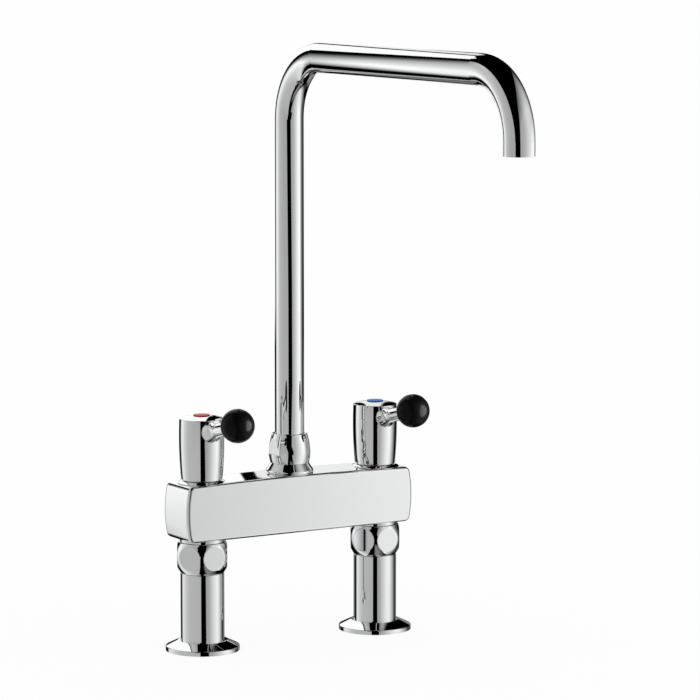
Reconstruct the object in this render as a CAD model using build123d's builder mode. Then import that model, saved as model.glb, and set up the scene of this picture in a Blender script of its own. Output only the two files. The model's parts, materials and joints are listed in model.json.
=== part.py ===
from build123d import *
import os
from math import cos, radians, sin, sqrt

# A deck-mounted two-hole bridge mixer tap with a swivel spout and two quarter-turn lever handles.
# Millimetres, +Z up, with the deck at Z = 0 and the origin midway between the two legs.
# +X runs from the hot leg to the cold leg. The user stands on the -Y side, where spout and levers point.

# Clearances, all on the radius or along the axis
thread_clearance = 0.1
snug_clearance = 0.05
running_clearance = 0.08
bearing_gap = 0.1
face_gap = 0.3

# Legs: columns, deck flanges and gaskets
leg_spacing = 150.0
column_diameter = 32.5
column_height = 58.0
column_bore = 16.0
column_edge_radius = 0.4
inlet_thread_diameter = 20.96
inlet_thread_depth = 16.0
flange_diameter = 55.0
flange_rim_height = 3.2
flange_height = 7.6
flange_land_width = 2.0
flange_edge_radius = 1.0
gasket_inner_diameter = 38.0
gasket_width = 5.5
gasket_thickness = 1.6

# Unions between the columns and the bridge body
nut_height = 23.2
nut_across_flats = 36.8
nut_flat_diameter = 17.6
nut_ball_rise = 1.2
nut_flat_count = 6
nut_flat_edge_radius = 1.6
nut_edge_radius = 0.5
nut_lip_thickness = 4.0
nozzle_thread_diameter = 26.4
tail_thread_diameter = 22.0
tail_thread_length = 11.5
tail_neck_diameter = 23.0
tail_collar_thickness = 3.0
tail_bore = 14.0
union_washer_thickness = 2.0
nozzle_collar_diameter = 33.3
nozzle_collar_height = 2.0

# Bridge body
body_overhang = 22.2
body_height = 43.3
body_depth = 37.0
body_end_crown = 2.4
body_crown = 1.6
body_corner_radius = 4.5
body_edge_radius = 2.6
body_wall = 5.5
seat_post_diameter = 22.0
seat_post_height = 8.0
seat_port_diameter = 12.0
boss_wall = 3.5

# Valve headworks
headwork_thread_diameter = 22.0
headwork_thread_length = 10.5
headwork_flange_diameter = 25.0
headwork_flange_thickness = 2.6
headwork_hex_across_flats = 19.0
headwork_hex_height = 5.6
headwork_hex_sides = 6
headwork_neck_diameter = 15.0
headwork_neck_height = 12.0
headwork_gasket_thickness = 1.2
headwork_spot_depth = 0.6
barrel_diameter = 19.6
barrel_wall = 1.6
seat_seal_height = 2.6
seat_seal_squeeze = 0.6
disc_thickness = 3.0
disc_port_radius = 4.2
disc_port_width = 3.0
disc_port_angle = 62.0
disc_lug_width = 3.0
barrel_window_width = 9.0
barrel_window_height = 3.2
spindle_diameter = 8.0
spindle_flange_thickness = 2.4
spindle_square = 5.6
spindle_square_length = 16.5
tang_width = 3.0
tang_length = 11.6
tang_depth = 1.2
o_ring_section = 1.1
clip_thickness = 0.8
clip_diameter = 12.0
clip_opening = 4.0
spindle_groove_diameter = 6.6

# Handles, levers and their fittings
collar_diameter = 36.2
collar_top_diameter = 31.2
collar_rise = 0.3
collar_edge_height = 0.5
handle_height = 45.6
handle_top_diameter = 32.8
handle_belly_diameter = 33.4
handle_belly_share = 0.66
handle_foot_diameter = 30.4
handle_foot_radius = 1.0
handle_rim_radius = 0.5
handle_dome_height = 2.4
handle_skirt_wall = 2.2
handle_cavity_height = 22.4
screw_head_diameter = 7.6
screw_head_height = 2.8
screw_diameter = 4.0
screw_grip = 8.5
screw_slot_width = 1.2
screw_slot_depth = 1.1
handle_web_over_spindle = 3.4
cap_diameter = 12.3
cap_edge_height = 1.7
cap_edge_radius = 0.3
cap_crown = 0.4
cap_recess_depth = 1.3
cap_spigot_length = 2.6
lever_rise_angle = 13.5
lever_root_height = 33.6
lever_boss_diameter = 16.0
lever_boss_neck_diameter = 13.0
lever_boss_neck_reach = 20.4
lever_boss_reach = 25.0
lever_boss_root_radius = 1.5
lever_stem_diameter = 10.0
lever_thread_diameter = 6.0
lever_thread_depth = 9.0
ball_diameter = 25.0
ball_reach = 55.5
ball_flat_margin = 0.7

# Spout
tube_diameter = 22.0
tube_wall = 1.2
spout_run_height = 437.7
spout_reach = 304.0
spout_bend_radius = 46.5
spout_outlet_straight = 9.7
socket_thread_diameter = 24.0
socket_thread_length = 13.0
socket_height = 7.5
socket_rim_diameter = 35.6
socket_rim_height = 2.5
socket_rim_draft = 0.3
socket_foot_diameter = 34.0
socket_top_diameter = 28.4
socket_gasket_thickness = 1.2
socket_gasket_width = 2.8
spigot_thread_diameter = 24.8
spigot_height = 11.6
spout_nut_height = 22.0
spout_nut_top_diameter = 26.0
spout_nut_belly_diameter = 31.2
spout_nut_belly_height = 7.4
spout_nut_foot_diameter = 29.0
spout_nut_shoulder_diameter = 29.7
spout_nut_shoulder_height = 14.7
spout_nut_hip_diameter = 30.4
spout_nut_hip_height = 3.0
spout_nut_across_flats = 27.8
spout_nut_flat_start = 6.7
spout_nut_edge_radius = 0.4
slip_washer_thickness = 1.0
bush_diameter = 18.0
bush_bore = 12.0
bush_length = 29.0
bush_collar_thickness = 3.0
bush_spigot_length = 12.0
swivel_ring_section = 1.8
swivel_ring_heights = (6.0, 14.0)
straightener_recess = 3.0
straightener_wall = 0.9
straightener_vane_count = 3

# Levels of the leg and the union, from the deck upwards
nut_low = column_height + bearing_gap
nut_top = nut_low + nut_height
tail_collar_low = nut_low + nut_lip_thickness
nozzle_low = tail_collar_low + tail_collar_thickness + union_washer_thickness
body_low = nut_top + face_gap + nozzle_collar_height
body_top = body_low + body_height
chamber_low = body_low + body_wall
chamber_top = body_top - body_wall

# Levels of the headwork, from its seat in the body upwards
spot_face = body_top - body_crown - headwork_spot_depth
seat_level = chamber_low + seat_post_height
headwork_flange_low = spot_face + headwork_gasket_thickness
headwork_hex_low = headwork_flange_low + headwork_flange_thickness
headwork_neck_low = headwork_hex_low + headwork_hex_height
headwork_top = headwork_neck_low + headwork_neck_height
headwork_thread_low = spot_face - headwork_thread_length
barrel_low = seat_level + seat_seal_squeeze
fixed_disc_low = seat_level + seat_seal_height
moving_disc_low = fixed_disc_low + disc_thickness + bearing_gap
moving_disc_top = moving_disc_low + disc_thickness
spindle_flange_low = moving_disc_top + face_gap
barrel_bore_top = spindle_flange_low + spindle_flange_thickness + face_gap
barrel_bore = barrel_diameter - 2 * barrel_wall
disc_diameter = barrel_bore - 2 * snug_clearance
clip_low = headwork_top + face_gap
square_low = clip_low + clip_thickness + face_gap
spindle_top = square_low + spindle_square_length

# Levels of the handle
collar_top = body_top + collar_rise
handle_low = collar_top + face_gap
handle_rim = handle_low + handle_height
handle_dome_top = handle_rim + handle_dome_height
handle_cavity_top = handle_low + handle_cavity_height
screw_seat = spindle_top + handle_web_over_spindle
cap_seat = handle_dome_top - cap_recess_depth
lever_root = handle_low + lever_root_height
ball_flat_diameter = lever_stem_diameter + 2 * ball_flat_margin
ball_flat_offset = sqrt(ball_diameter ** 2 - ball_flat_diameter ** 2) / 2
stem_length = ball_reach - ball_flat_offset - lever_boss_reach

# Levels of the spout
socket_top = body_top + socket_height
spigot_top = socket_top + spigot_height
bush_collar_low = spigot_top + slip_washer_thickness + bearing_gap
bush_collar_top = bush_collar_low + bush_collar_thickness
spout_nut_low = socket_top + bearing_gap
spout_nut_top = spout_nut_low + spout_nut_height
spout_nut_seat = bush_collar_top + bearing_gap + slip_washer_thickness
spout_outlet_height = spout_run_height - spout_bend_radius - spout_outlet_straight
straightener_height = spout_outlet_straight - straightener_recess - face_gap
socket_thread_low = body_top - socket_thread_length
bush_low = bush_collar_low - bush_length
spigot_bore = bush_diameter + 2 * running_clearance
tube_bore = tube_diameter - 2 * tube_wall
nut_collar_bore = tube_diameter + 2 * face_gap
nut_thread_bore = spigot_thread_diameter + 2 * thread_clearance
bush_collar_diameter = nut_thread_bore - 2 * face_gap

# Places along the body
legs = {"hot": -leg_spacing / 2, "cold": leg_spacing / 2}
body_length = leg_spacing + 2 * body_overhang
half_corner = body_length / 2 - body_end_crown
body_middle = body_low + body_height / 2
body_crown_radius = (half_corner ** 2 + body_crown ** 2) / (2 * body_crown)

os.makedirs("parts", exist_ok=True)


def keep(piece, name):
    """Labels a finished piece and writes it as its own file."""
    piece.part.label = name
    export_step(piece.part, f"parts/{name}.step")


def crown_drop(half_width, rise, radius):
    """How far a round crown of that half width and rise lies below its top at a given radius."""
    crown_radius = (half_width ** 2 + rise ** 2) / (2 * rise)
    return crown_radius - sqrt(crown_radius ** 2 - radius ** 2)


def upright(axis_x):
    """The upright plane through a vertical axis: its x is the radius and its y is the height."""
    return Plane(origin=(axis_x, 0, 0), x_dir=(1, 0, 0), z_dir=(0, -1, 0))


def upright_axis(axis_x):
    """The vertical axis of a leg, or of the spout at zero."""
    return Axis((axis_x, 0, 0), (0, 0, 1))


def ring(inner_diameter, outer_diameter, low, high, axis_x=0.0):
    """A plain flat ring about a vertical axis, such as a washer or a gasket."""
    with BuildPart() as flat_ring:
        with BuildSketch(Plane.XY.offset(low)):
            with Locations((axis_x, 0)):
                Circle(outer_diameter / 2)
                Circle(inner_diameter / 2, mode=Mode.SUBTRACT)
        extrude(amount=high - low)
    return flat_ring


def round_rings(outer_diameter, section, heights, axis_x=0.0):
    """Round-section sealing rings about a vertical axis, one at each height."""
    with BuildPart() as seal_rings:
        with BuildSketch(upright(axis_x)):
            with Locations(*[((outer_diameter - section) / 2, height) for height in heights]):
                Circle(section / 2)
        revolve(axis=upright_axis(axis_x))
    return seal_rings


# Bridge body: one casting with two inlet nozzles below and a water chamber inside
with BuildPart() as bridge_body:
    with BuildSketch(Plane.XZ) as front_outline:
        with BuildLine():
            low_left = (-half_corner, body_low)
            low_right = (half_corner, body_low)
            top_right = (half_corner, body_top - body_crown)
            top_left = (-half_corner, body_top - body_crown)
            Line(low_left, low_right)
            ThreePointArc(low_right, (body_length / 2, body_middle), top_right)
            ThreePointArc(top_right, (0, body_top), top_left)
            ThreePointArc(top_left, (-body_length / 2, body_middle), low_left)
        make_face()
        fillet(front_outline.vertices(), radius=body_corner_radius)
    extrude(amount=body_depth / 2, both=True)
    faces_along_depth = bridge_body.faces().sort_by(Axis.Y)
    fillet(faces_along_depth[0].edges() + faces_along_depth[-1].edges(), radius=body_edge_radius)
    with BuildSketch(Plane.XY.offset(nozzle_low)):
        with GridLocations(leg_spacing, 0, 2, 1):
            Circle(nozzle_thread_diameter / 2)
    extrude(amount=chamber_low - nozzle_low)
    with BuildSketch(Plane.XY.offset(nut_top + face_gap)):
        with GridLocations(leg_spacing, 0, 2, 1):
            Circle(nozzle_collar_diameter / 2)
    extrude(amount=chamber_low - nut_top - face_gap)
    with BuildSketch(Plane.XY.offset(chamber_low)):
        RectangleRounded(
            leg_spacing + seat_post_diameter + boss_wall,
            body_depth - 2 * body_wall,
            body_wall,
        )
    extrude(amount=chamber_top - chamber_low, mode=Mode.SUBTRACT)
    with BuildSketch(Plane.XY.offset(chamber_low)):
        with GridLocations(leg_spacing, 0, 2, 1):
            Circle(seat_post_diameter / 2)
    extrude(amount=seat_post_height)
    with BuildSketch(Plane.XY.offset(headwork_thread_low)):
        with GridLocations(leg_spacing, 0, 2, 1):
            Circle(headwork_thread_diameter / 2 + boss_wall - snug_clearance)
    extrude(amount=chamber_top - headwork_thread_low)
    with BuildSketch(Plane.XY.offset(socket_thread_low)):
        Circle(socket_thread_diameter / 2 + boss_wall - snug_clearance)
    extrude(amount=chamber_top - socket_thread_low)
    with BuildSketch(Plane.XY.offset(nozzle_low)):
        with GridLocations(leg_spacing, 0, 2, 1):
            Circle(seat_port_diameter / 2)
    extrude(amount=seat_level - nozzle_low, mode=Mode.SUBTRACT)
    with BuildSketch(Plane.XY.offset(headwork_thread_low)):
        with GridLocations(leg_spacing, 0, 2, 1):
            Circle(headwork_thread_diameter / 2 + thread_clearance)
    extrude(amount=body_top - headwork_thread_low, mode=Mode.SUBTRACT)
    with BuildSketch(Plane.XY.offset(spot_face)):
        with GridLocations(leg_spacing, 0, 2, 1):
            Circle(headwork_flange_diameter / 2 + face_gap)
    extrude(amount=body_top - spot_face, mode=Mode.SUBTRACT)
    with BuildSketch(Plane.XY.offset(socket_thread_low)):
        Circle(socket_thread_diameter / 2 + thread_clearance)
    extrude(amount=body_top - socket_thread_low, mode=Mode.SUBTRACT)
keep(bridge_body, "bridge_body")

for side, leg_x in legs.items():
    leg_axis = upright_axis(leg_x)

    # Column: a thick tube with a threaded inlet at the foot and a threaded socket at the top
    with BuildPart() as column:
        with BuildSketch(Plane.XY):
            with Locations((leg_x, 0)):
                Circle(column_diameter / 2)
                Circle(column_bore / 2, mode=Mode.SUBTRACT)
        extrude(amount=column_height)
        fillet(column.faces().sort_by(Axis.Z)[-1].outer_wire().edges(), radius=column_edge_radius)
        with BuildSketch(Plane.XY):
            with Locations((leg_x, 0)):
                Circle(inlet_thread_diameter / 2)
        extrude(amount=inlet_thread_depth, mode=Mode.SUBTRACT)
        with BuildSketch(Plane.XY.offset(column_height)):
            with Locations((leg_x, 0)):
                Circle(tail_thread_diameter / 2 + thread_clearance)
        extrude(amount=-tail_thread_length - bearing_gap, mode=Mode.SUBTRACT)
    keep(column, f"{side}_column")

    # Deck flange: a low cone round the column's foot, with a groove for the gasket underneath
    flange_bore = column_diameter + 2 * snug_clearance
    with BuildPart() as deck_flange:
        with BuildSketch(upright(leg_x)) as flange_section:
            with BuildLine():
                Polyline(
                    (flange_bore / 2, 0),
                    (flange_diameter / 2, 0),
                    (flange_diameter / 2, flange_rim_height),
                    (flange_bore / 2 + flange_land_width, flange_height),
                    (flange_bore / 2, flange_height),
                    close=True,
                )
            make_face()
            corner_land = flange_section.vertices().group_by(Axis.Y)[-1].sort_by(Axis.X)[-1]
            fillet(corner_land, radius=flange_edge_radius)
            corner_edge = flange_section.vertices().group_by(Axis.X)[-1].sort_by(Axis.Y)[-1]
            fillet(corner_edge, radius=flange_edge_radius)
        revolve(axis=leg_axis)
        with BuildSketch(Plane.XY):
            with Locations((leg_x, 0)):
                Circle(gasket_inner_diameter / 2 + gasket_width + snug_clearance)
                Circle(gasket_inner_diameter / 2 - snug_clearance, mode=Mode.SUBTRACT)
        extrude(amount=gasket_thickness, mode=Mode.SUBTRACT)
    keep(deck_flange, f"{side}_deck_flange")
    gasket_outer_diameter = gasket_inner_diameter + 2 * gasket_width
    keep(ring(gasket_inner_diameter, gasket_outer_diameter, 0, gasket_thickness, leg_x), f"{side}_deck_gasket")

    # Union tailpiece: screws into the column, and its collar holds the union nut
    tail_collar_diameter = nozzle_thread_diameter - 2 * thread_clearance
    with BuildPart() as union_tailpiece:
        with BuildSketch(upright(leg_x)):
            with BuildLine():
                Polyline(
                    (tail_bore / 2, column_height - tail_thread_length),
                    (tail_thread_diameter / 2, column_height - tail_thread_length),
                    (tail_thread_diameter / 2, column_height),
                    (tail_neck_diameter / 2, column_height),
                    (tail_neck_diameter / 2, tail_collar_low),
                    (tail_collar_diameter / 2, tail_collar_low),
                    (tail_collar_diameter / 2, tail_collar_low + tail_collar_thickness),
                    (tail_bore / 2, tail_collar_low + tail_collar_thickness),
                    close=True,
                )
            make_face()
        revolve(axis=leg_axis)
    keep(union_tailpiece, f"{side}_union_tailpiece")

    # Union nut: a ball cut off at both ends, with round wrench flats
    nut_ball_radius = sqrt(nut_across_flats ** 2 + nut_flat_diameter ** 2) / 2
    nut_middle = nut_low + nut_height / 2 + nut_ball_rise
    with BuildPart() as union_nut:
        with Locations((leg_x, 0, nut_middle)):
            Sphere(nut_ball_radius)
        with BuildSketch(Plane.XY.offset(nut_low)):
            with Locations((leg_x, 0)):
                RegularPolygon(nut_across_flats / 2, nut_flat_count, major_radius=False)
        extrude(amount=nut_height, mode=Mode.INTERSECT)
        nut_planes = union_nut.faces().filter_by(GeomType.PLANE)
        fillet(nut_planes.filter_by(Axis.Z, reverse=True).edges(), radius=nut_flat_edge_radius)
        nut_ends = union_nut.faces().filter_by(GeomType.PLANE).filter_by(Axis.Z)
        fillet(nut_ends.edges(), radius=nut_edge_radius)
        with BuildSketch(Plane.XY.offset(nut_low)):
            with Locations((leg_x, 0)):
                Circle(tail_neck_diameter / 2 + thread_clearance)
        extrude(amount=nut_height, mode=Mode.SUBTRACT)
        with BuildSketch(Plane.XY.offset(tail_collar_low)):
            with Locations((leg_x, 0)):
                Circle(nozzle_thread_diameter / 2 + thread_clearance)
        extrude(amount=nut_height, mode=Mode.SUBTRACT)
    keep(union_nut, f"{side}_union_nut")
    washer_low = tail_collar_low + tail_collar_thickness
    keep(ring(tail_bore, tail_collar_diameter, washer_low, nozzle_low, leg_x), f"{side}_union_washer")

    # Headwork body: barrel with the discs, thread, flange, hexagon and neck
    with BuildPart() as headwork_body:
        with BuildSketch(upright(leg_x)):
            with BuildLine():
                Polyline(
                    (barrel_bore / 2, barrel_low),
                    (barrel_diameter / 2, barrel_low),
                    (barrel_diameter / 2, headwork_thread_low),
                    (headwork_thread_diameter / 2, headwork_thread_low),
                    (headwork_thread_diameter / 2, headwork_flange_low),
                    (headwork_flange_diameter / 2, headwork_flange_low),
                    (headwork_flange_diameter / 2, headwork_hex_low),
                    (headwork_neck_diameter / 2, headwork_hex_low),
                    (headwork_neck_diameter / 2, headwork_top),
                    (spindle_diameter / 2 + running_clearance, headwork_top),
                    (spindle_diameter / 2 + running_clearance, barrel_bore_top),
                    (barrel_bore / 2, barrel_bore_top),
                    close=True,
                )
            make_face()
        revolve(axis=leg_axis)
        with BuildSketch(Plane.XY.offset(headwork_hex_low)):
            with Locations((leg_x, 0)):
                RegularPolygon(headwork_hex_across_flats / 2, headwork_hex_sides, major_radius=False)
                Circle(headwork_neck_diameter / 2 - snug_clearance, mode=Mode.SUBTRACT)
        extrude(amount=headwork_hex_height)
        with BuildSketch(Plane.XY.offset(barrel_low)):
            with Locations((leg_x, 0)):
                Rectangle(2 * barrel_diameter, disc_lug_width + 2 * snug_clearance)
        extrude(amount=fixed_disc_low + disc_thickness - barrel_low, mode=Mode.SUBTRACT)
        with BuildSketch(Plane.XY.offset(moving_disc_low)):
            with Locations((leg_x, 0)):
                Rectangle(barrel_window_width, 2 * barrel_diameter)
        extrude(amount=barrel_window_height, mode=Mode.SUBTRACT)
    keep(headwork_body, f"{side}_headwork_body")
    keep(
        ring(
            headwork_thread_diameter + 2 * thread_clearance,
            headwork_flange_diameter,
            spot_face,
            headwork_flange_low,
            leg_x,
        ),
        f"{side}_headwork_gasket",
    )
    keep(ring(seat_port_diameter, disc_diameter, seat_level, fixed_disc_low, leg_x), f"{side}_seat_seal")

    # Fixed ceramic disc: two curved ports, and two lugs that key it to the barrel
    with BuildPart() as fixed_disc:
        with BuildSketch(Plane.XY.offset(fixed_disc_low)):
            with Locations((leg_x, 0)):
                Circle(disc_diameter / 2)
                Rectangle(barrel_diameter - barrel_wall, disc_lug_width)
                for turn in (0, 180):
                    port_start = turn - disc_port_angle / 2
                    port_line = CenterArc((0, 0), disc_port_radius, port_start, disc_port_angle, mode=Mode.PRIVATE)
                    SlotArc(port_line, disc_port_width, mode=Mode.SUBTRACT)
        extrude(amount=disc_thickness)
    keep(fixed_disc, f"{side}_fixed_disc")

    # Moving ceramic disc: its ports stand a quarter turn away while the valve is shut
    with BuildPart() as moving_disc:
        with BuildSketch(Plane.XY.offset(moving_disc_low)):
            with Locations((leg_x, 0)):
                Circle(disc_diameter / 2)
                for turn in (90, 270):
                    port_start = turn - disc_port_angle / 2
                    port_line = CenterArc((0, 0), disc_port_radius, port_start, disc_port_angle, mode=Mode.PRIVATE)
                    SlotArc(port_line, disc_port_width, mode=Mode.SUBTRACT)
        extrude(amount=disc_thickness)
        with BuildSketch(Plane.XY.offset(moving_disc_top)):
            with Locations((leg_x, 0)):
                Rectangle(tang_length + 2 * thread_clearance, tang_width + 2 * thread_clearance)
        extrude(amount=-tang_depth, mode=Mode.SUBTRACT)
    keep(moving_disc, f"{side}_moving_disc")

    # Spindle: flange and tang below, grooves for the ring and the clip, square drive on top
    ring_middle = headwork_neck_low + headwork_neck_height / 2
    with BuildPart() as spindle:
        with BuildSketch(Plane.XY.offset(spindle_flange_low)):
            with Locations((leg_x, 0)):
                Circle(disc_diameter / 2 - thread_clearance)
        extrude(amount=spindle_flange_thickness)
        with BuildSketch(Plane.XY.offset(spindle_flange_low)):
            with Locations((leg_x, 0)):
                Circle(spindle_diameter / 2)
        extrude(amount=square_low - spindle_flange_low)
        with BuildSketch(Plane.XY.offset(square_low)):
            with Locations((leg_x, 0)):
                Rectangle(spindle_square, spindle_square)
        extrude(amount=spindle_square_length)
        with BuildSketch(Plane.XY.offset(spindle_flange_low)):
            with Locations((leg_x, 0)):
                Rectangle(tang_length, tang_width)
        extrude(amount=moving_disc_top - tang_depth + bearing_gap - spindle_flange_low)
        with BuildSketch(Plane.XY.offset(ring_middle - o_ring_section / 2 - snug_clearance)):
            with Locations((leg_x, 0)):
                Circle(spindle_diameter)
                Circle(spindle_diameter / 2 - o_ring_section - snug_clearance, mode=Mode.SUBTRACT)
        extrude(amount=o_ring_section + 2 * snug_clearance, mode=Mode.SUBTRACT)
        with BuildSketch(Plane.XY.offset(clip_low - snug_clearance)):
            with Locations((leg_x, 0)):
                Circle(spindle_diameter)
                Circle(spindle_groove_diameter / 2, mode=Mode.SUBTRACT)
        extrude(amount=clip_thickness + 2 * snug_clearance, mode=Mode.SUBTRACT)
        with BuildSketch(Plane.XY.offset(spindle_top)):
            with Locations((leg_x, 0)):
                Circle(screw_diameter / 2 + snug_clearance)
        extrude(amount=-screw_grip - face_gap, mode=Mode.SUBTRACT)
    keep(spindle, f"{side}_spindle")
    keep(round_rings(spindle_diameter, o_ring_section, [ring_middle], leg_x), f"{side}_spindle_o_ring")

    # Spindle clip: an open spring ring in the spindle's upper groove
    with BuildPart() as spindle_clip:
        with BuildSketch(Plane.XY.offset(clip_low)):
            with Locations((leg_x, 0)):
                Circle(clip_diameter / 2)
                Circle(spindle_groove_diameter / 2 + snug_clearance, mode=Mode.SUBTRACT)
            with Locations((leg_x, clip_diameter / 2)):
                Rectangle(clip_opening, clip_diameter, mode=Mode.SUBTRACT)
        extrude(amount=clip_thickness)
    keep(spindle_clip, f"{side}_spindle_clip")

    # Flared collar at the handle's foot, its underside shaped to the crown of the body
    with BuildPart() as handle_collar:
        with BuildSketch(upright(leg_x)):
            with BuildLine():
                Polyline(
                    (headwork_flange_diameter / 2 + face_gap, spot_face),
                    (collar_diameter / 2, spot_face),
                    (collar_diameter / 2, body_top - body_crown + collar_edge_height),
                    (collar_top_diameter / 2, collar_top),
                    (headwork_flange_diameter / 2 + face_gap, collar_top),
                    close=True,
                )
            make_face()
        revolve(axis=leg_axis)
        with BuildSketch(Plane.XZ):
            with Locations((0, body_top + snug_clearance - body_crown_radius)):
                Circle(body_crown_radius)
        extrude(amount=body_depth, both=True, mode=Mode.SUBTRACT)
    keep(handle_collar, f"{side}_handle_collar")

    # Handle: a barrel shaped cup with a domed top and a round boss for the lever
    lever_direction = (0, -cos(radians(lever_rise_angle)), sin(radians(lever_rise_angle)))
    lever_plane = Plane(origin=(leg_x, 0, lever_root), x_dir=(1, 0, 0), z_dir=lever_direction)
    lever_axis = Axis((leg_x, 0, lever_root), lever_direction)
    screw_room = screw_head_diameter / 2 + face_gap
    with BuildPart() as handle:
        with BuildSketch(upright(leg_x)) as handle_section:
            with BuildLine():
                foot = (handle_foot_diameter / 2, handle_low)
                belly = (handle_belly_diameter / 2, handle_low + handle_height * handle_belly_share)
                rim = (handle_top_diameter / 2, handle_rim)
                dome_drop = crown_drop(handle_top_diameter / 2, handle_dome_height, handle_top_diameter / 4)
                dome_shoulder = (handle_top_diameter / 4, handle_dome_top - dome_drop)
                Line((0, handle_low), foot)
                ThreePointArc(foot, belly, rim)
                ThreePointArc(rim, dome_shoulder, (0, handle_dome_top))
                Line((0, handle_dome_top), (0, handle_low))
            make_face()
            corners = handle_section.vertices().sort_by(Axis.X)
            corner_foot = corners[2:].sort_by(Axis.Y)[0]
            fillet(corner_foot, radius=handle_foot_radius)
            corner_rim = handle_section.vertices().group_by(Axis.X)[-1]
            fillet(corner_rim, radius=handle_rim_radius)
        revolve(axis=leg_axis)
        with BuildSketch(Plane(origin=(leg_x, 0, lever_root), x_dir=lever_direction, z_dir=(-1, 0, 0))):
            with BuildLine():
                boss_neck = (lever_boss_neck_reach, lever_boss_neck_diameter / 2)
                boss_end = (lever_boss_reach, lever_stem_diameter / 2)
                TangentArc(boss_end, boss_neck, tangent=(-1, 0))
                Polyline(
                    boss_neck,
                    (handle_top_diameter / 2, lever_boss_diameter / 2),
                    (0, lever_boss_diameter / 2),
                    (0, 0),
                    (lever_boss_reach, 0),
                    boss_end,
                )
            make_face()
        revolve(axis=lever_axis)
        boss_root = handle.edges(Select.LAST).sort_by(SortBy.LENGTH)
        fillet(boss_root[-1], radius=lever_boss_root_radius)
        with BuildSketch(Plane.XY.offset(handle_low)):
            with Locations((leg_x, 0)):
                Circle(handle_foot_diameter / 2 - handle_skirt_wall)
        extrude(amount=handle_cavity_height, mode=Mode.SUBTRACT)
        with BuildSketch(Plane.XY.offset(handle_cavity_top)):
            with Locations((leg_x, 0)):
                Rectangle(spindle_square + 2 * snug_clearance, spindle_square + 2 * snug_clearance)
        extrude(amount=spindle_top + face_gap - handle_cavity_top, mode=Mode.SUBTRACT)
        with BuildSketch(Plane.XY.offset(spindle_top)):
            with Locations((leg_x, 0)):
                Circle(screw_diameter / 2 + thread_clearance)
        extrude(amount=screw_seat - spindle_top, mode=Mode.SUBTRACT)
        with BuildSketch(Plane.XY.offset(screw_seat)):
            with Locations((leg_x, 0)):
                Circle(screw_room)
        extrude(amount=handle_dome_top - screw_seat, mode=Mode.SUBTRACT)
        with BuildSketch(Plane.XY.offset(cap_seat)):
            with Locations((leg_x, 0)):
                Circle(cap_diameter / 2 + thread_clearance)
        extrude(amount=handle_dome_top - cap_seat, mode=Mode.SUBTRACT)
        with BuildSketch(lever_plane.offset(lever_boss_reach)):
            Circle(lever_thread_diameter / 2 + thread_clearance)
        extrude(amount=-lever_thread_depth - face_gap, mode=Mode.SUBTRACT)
    keep(handle, f"{side}_handle")

    # Lever stem: a plain rod with a threaded stub at each end
    with BuildPart() as lever_stem:
        with BuildSketch(lever_plane.offset(lever_boss_reach)):
            Circle(lever_stem_diameter / 2)
        extrude(amount=stem_length)
        with BuildSketch(lever_plane.offset(lever_boss_reach - lever_thread_depth)):
            Circle(lever_thread_diameter / 2)
        extrude(amount=stem_length + 2 * lever_thread_depth)
    keep(lever_stem, f"{side}_lever_stem")

    # Ball knob: a ball with a flat and a threaded hole where the stem meets it
    with BuildPart() as ball_knob:
        with Locations(lever_plane.offset(ball_reach)):
            Sphere(ball_diameter / 2)
        with BuildSketch(lever_plane.offset(ball_reach - ball_flat_offset)):
            Circle(ball_diameter)
        extrude(amount=-ball_diameter, mode=Mode.SUBTRACT)
        with BuildSketch(lever_plane.offset(ball_reach - ball_flat_offset)):
            Circle(lever_thread_diameter / 2 + thread_clearance)
        extrude(amount=lever_thread_depth + face_gap, mode=Mode.SUBTRACT)
    keep(ball_knob, f"{side}_ball_knob")

    # Handle screw: a slotted cheese-head screw into the spindle
    with BuildPart() as handle_screw:
        with BuildSketch(Plane.XY.offset(screw_seat)):
            with Locations((leg_x, 0)):
                Circle(screw_head_diameter / 2)
        extrude(amount=screw_head_height)
        with BuildSketch(Plane.XY.offset(spindle_top - screw_grip)):
            with Locations((leg_x, 0)):
                Circle(screw_diameter / 2)
        extrude(amount=screw_seat - spindle_top + screw_grip)
        with BuildSketch(Plane.XY.offset(screw_seat + screw_head_height)):
            with Locations((leg_x, 0)):
                Rectangle(2 * screw_head_diameter, screw_slot_width)
        extrude(amount=-screw_slot_depth, mode=Mode.SUBTRACT)
    keep(handle_screw, f"{side}_handle_screw")

    # Index cap: a crowned button with a spigot over the screw
    with BuildPart() as index_cap:
        with BuildSketch(upright(leg_x)) as cap_section:
            with BuildLine():
                cap_edge = (cap_diameter / 2, cap_seat + cap_edge_height)
                cap_peak = cap_seat + cap_edge_height + cap_crown
                cap_top = (0, cap_peak)
                cap_shoulder = (cap_diameter / 4, cap_peak - crown_drop(cap_diameter / 2, cap_crown, cap_diameter / 4))
                Polyline(
                    cap_top,
                    (0, cap_seat - cap_spigot_length),
                    (screw_room - snug_clearance, cap_seat - cap_spigot_length),
                    (screw_room - snug_clearance, cap_seat),
                    (cap_diameter / 2, cap_seat),
                    cap_edge,
                )
                ThreePointArc(cap_edge, cap_shoulder, cap_top)
            make_face()
            fillet(cap_section.vertices().sort_by(Axis.X)[-2:].sort_by(Axis.Y)[-1], radius=cap_edge_radius)
        revolve(axis=leg_axis)
    keep(index_cap, f"{side}_index_cap")

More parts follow.
